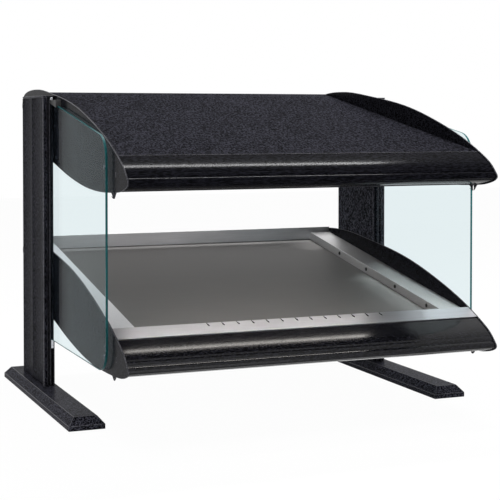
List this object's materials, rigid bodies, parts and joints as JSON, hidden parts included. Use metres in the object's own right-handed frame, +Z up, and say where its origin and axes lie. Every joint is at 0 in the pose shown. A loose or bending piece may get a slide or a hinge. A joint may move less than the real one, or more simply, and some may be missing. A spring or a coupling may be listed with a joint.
{
  "type": "heated merchandiser",
  "caption": "Counter-top heated merchandiser: a sloping hot shelf and a heated hood with curved end caps between two posts on long feet, with glass sides and open front and rear.",
  "frame": {"origin": "centre of the bounding box at its base, on the table under the feet", "axes": "+X to the right seen from the front, +Y towards the rear, +Z up"},
  "size_m": [0.72, 0.7004, 0.5499],
  "materials": {
    "black_coat": "fine textured black powder coat",
    "black_extrusion": "black coated aluminium extrusion",
    "black_aluminium": "fine textured black powder coat on aluminium",
    "heater_aluminium": "aluminium-faced blanket heater",
    "stainless": "satin stainless steel",
    "hot_plate_metal": "satin stainless steel, dulled by heat",
    "galvanised": "plain galvanised sheet",
    "reflector_aluminium": "bright aluminium sheet",
    "element_sheath": "heat-stained metal sheath",
    "zinc_steel": "bright zinc plate",
    "glass": "clear tempered glass with polished edges",
    "black_plastic": "moulded black plastic",
    "red_plastic": "red switch plastic",
    "lamp_plastic": "clear red lamp plastic",
    "frosted_plastic": "frosted lens",
    "ceramic": "glazed white ceramic",
    "mineral_wool": "mineral wool slab",
    "rubber": "black rubber"
  },
  "bodies": {
    "cabinet": {"control_panel": "black_coat", "cord_gland": "black_plastic", "element_guard": "stainless", "hood_bottom_panel": "black_coat", "hood_control_body": "black_plastic", "hood_front_bumper": "black_extrusion", "hood_heating_element": "element_sheath", "hood_left_end_cap": "black_aluminium", "hood_left_end_plate": "galvanised", "hood_light_housing": "galvanised", "hood_light_lens": "frosted_plastic", "hood_reflector": "reflector_aluminium", "hood_right_end_cap": "black_aluminium", "hood_right_end_plate": "galvanised", "hood_top_panel": "black_coat", "hot_plate": "hot_plate_metal", "indicator_lamp": "lamp_plastic", "left_element_bracket": "galvanised", "left_foot": "black_aluminium", "left_foot_pad": "rubber", "left_foot_stud_plate": "zinc_steel", "left_glass": "glass", "left_glass_clip": "black_plastic", "left_lower_glass_stop": "zinc_steel", "left_post": "black_extrusion", "left_post_cap": "black_coat", "left_upper_glass_stop": "zinc_steel", "light_switch_body": "black_plastic", "plate_heater": "heater_aluminium", "plate_insulation": "mineral_wool", "power_switch_body": "black_plastic", "right_element_bracket": "galvanised", "right_foot": "black_aluminium", "right_foot_pad": "rubber", "right_foot_stud_plate": "zinc_steel", "right_glass": "glass", "right_glass_clip": "black_plastic", "right_lower_glass_stop": "zinc_steel", "right_post": "black_extrusion", "right_post_cap": "black_coat", "right_upper_glass_stop": "zinc_steel", "shelf_bottom_pan": "galvanised", "shelf_front_bumper": "black_extrusion", "shelf_front_strip": "stainless", "shelf_left_end_cap": "black_aluminium", "shelf_left_hanger": "zinc_steel", "shelf_left_rail": "stainless", "shelf_rear_rail": "stainless", "shelf_right_end_cap": "black_aluminium", "shelf_right_hanger": "zinc_steel", "shelf_right_rail": "stainless", "shelf_thermostat_body": "black_plastic", "terminal_block": "ceramic", "thermal_cutout": "black_plastic"},
    "power_rocker": {"power_rocker": "red_plastic"},
    "light_rocker": {"light_rocker": "black_plastic"},
    "hood_control": {"hood_control_shaft": "zinc_steel", "hood_control_knob": "black_plastic"},
    "shelf_thermostat": {"shelf_thermostat_shaft": "zinc_steel", "shelf_thermostat_knob": "black_plastic"}
  },
  "joints": [
    {"name": "power_rocker_tip", "type": "hinge", "parent": "cabinet", "child": "power_rocker", "pos_m": [-0.23, 0.32426, 0.23999], "axis": [1, 0, 0], "range_deg": [0, 16]},
    {"name": "light_rocker_tip", "type": "hinge", "parent": "cabinet", "child": "light_rocker", "pos_m": [-0.15, 0.32426, 0.23999], "axis": [1, 0, 0], "range_deg": [0, 16]},
    {"name": "hood_control_turn", "type": "hinge", "parent": "cabinet", "child": "hood_control", "pos_m": [-0.05, 0.32643, 0.24036], "axis": [0, -0.9859, -0.1671], "range_deg": [0, 270]},
    {"name": "shelf_thermostat_turn", "type": "hinge", "parent": "cabinet", "child": "shelf_thermostat", "pos_m": [0.04, 0.32643, 0.24036], "axis": [0, -0.9859, -0.1671], "range_deg": [0, 270]}
  ]
}
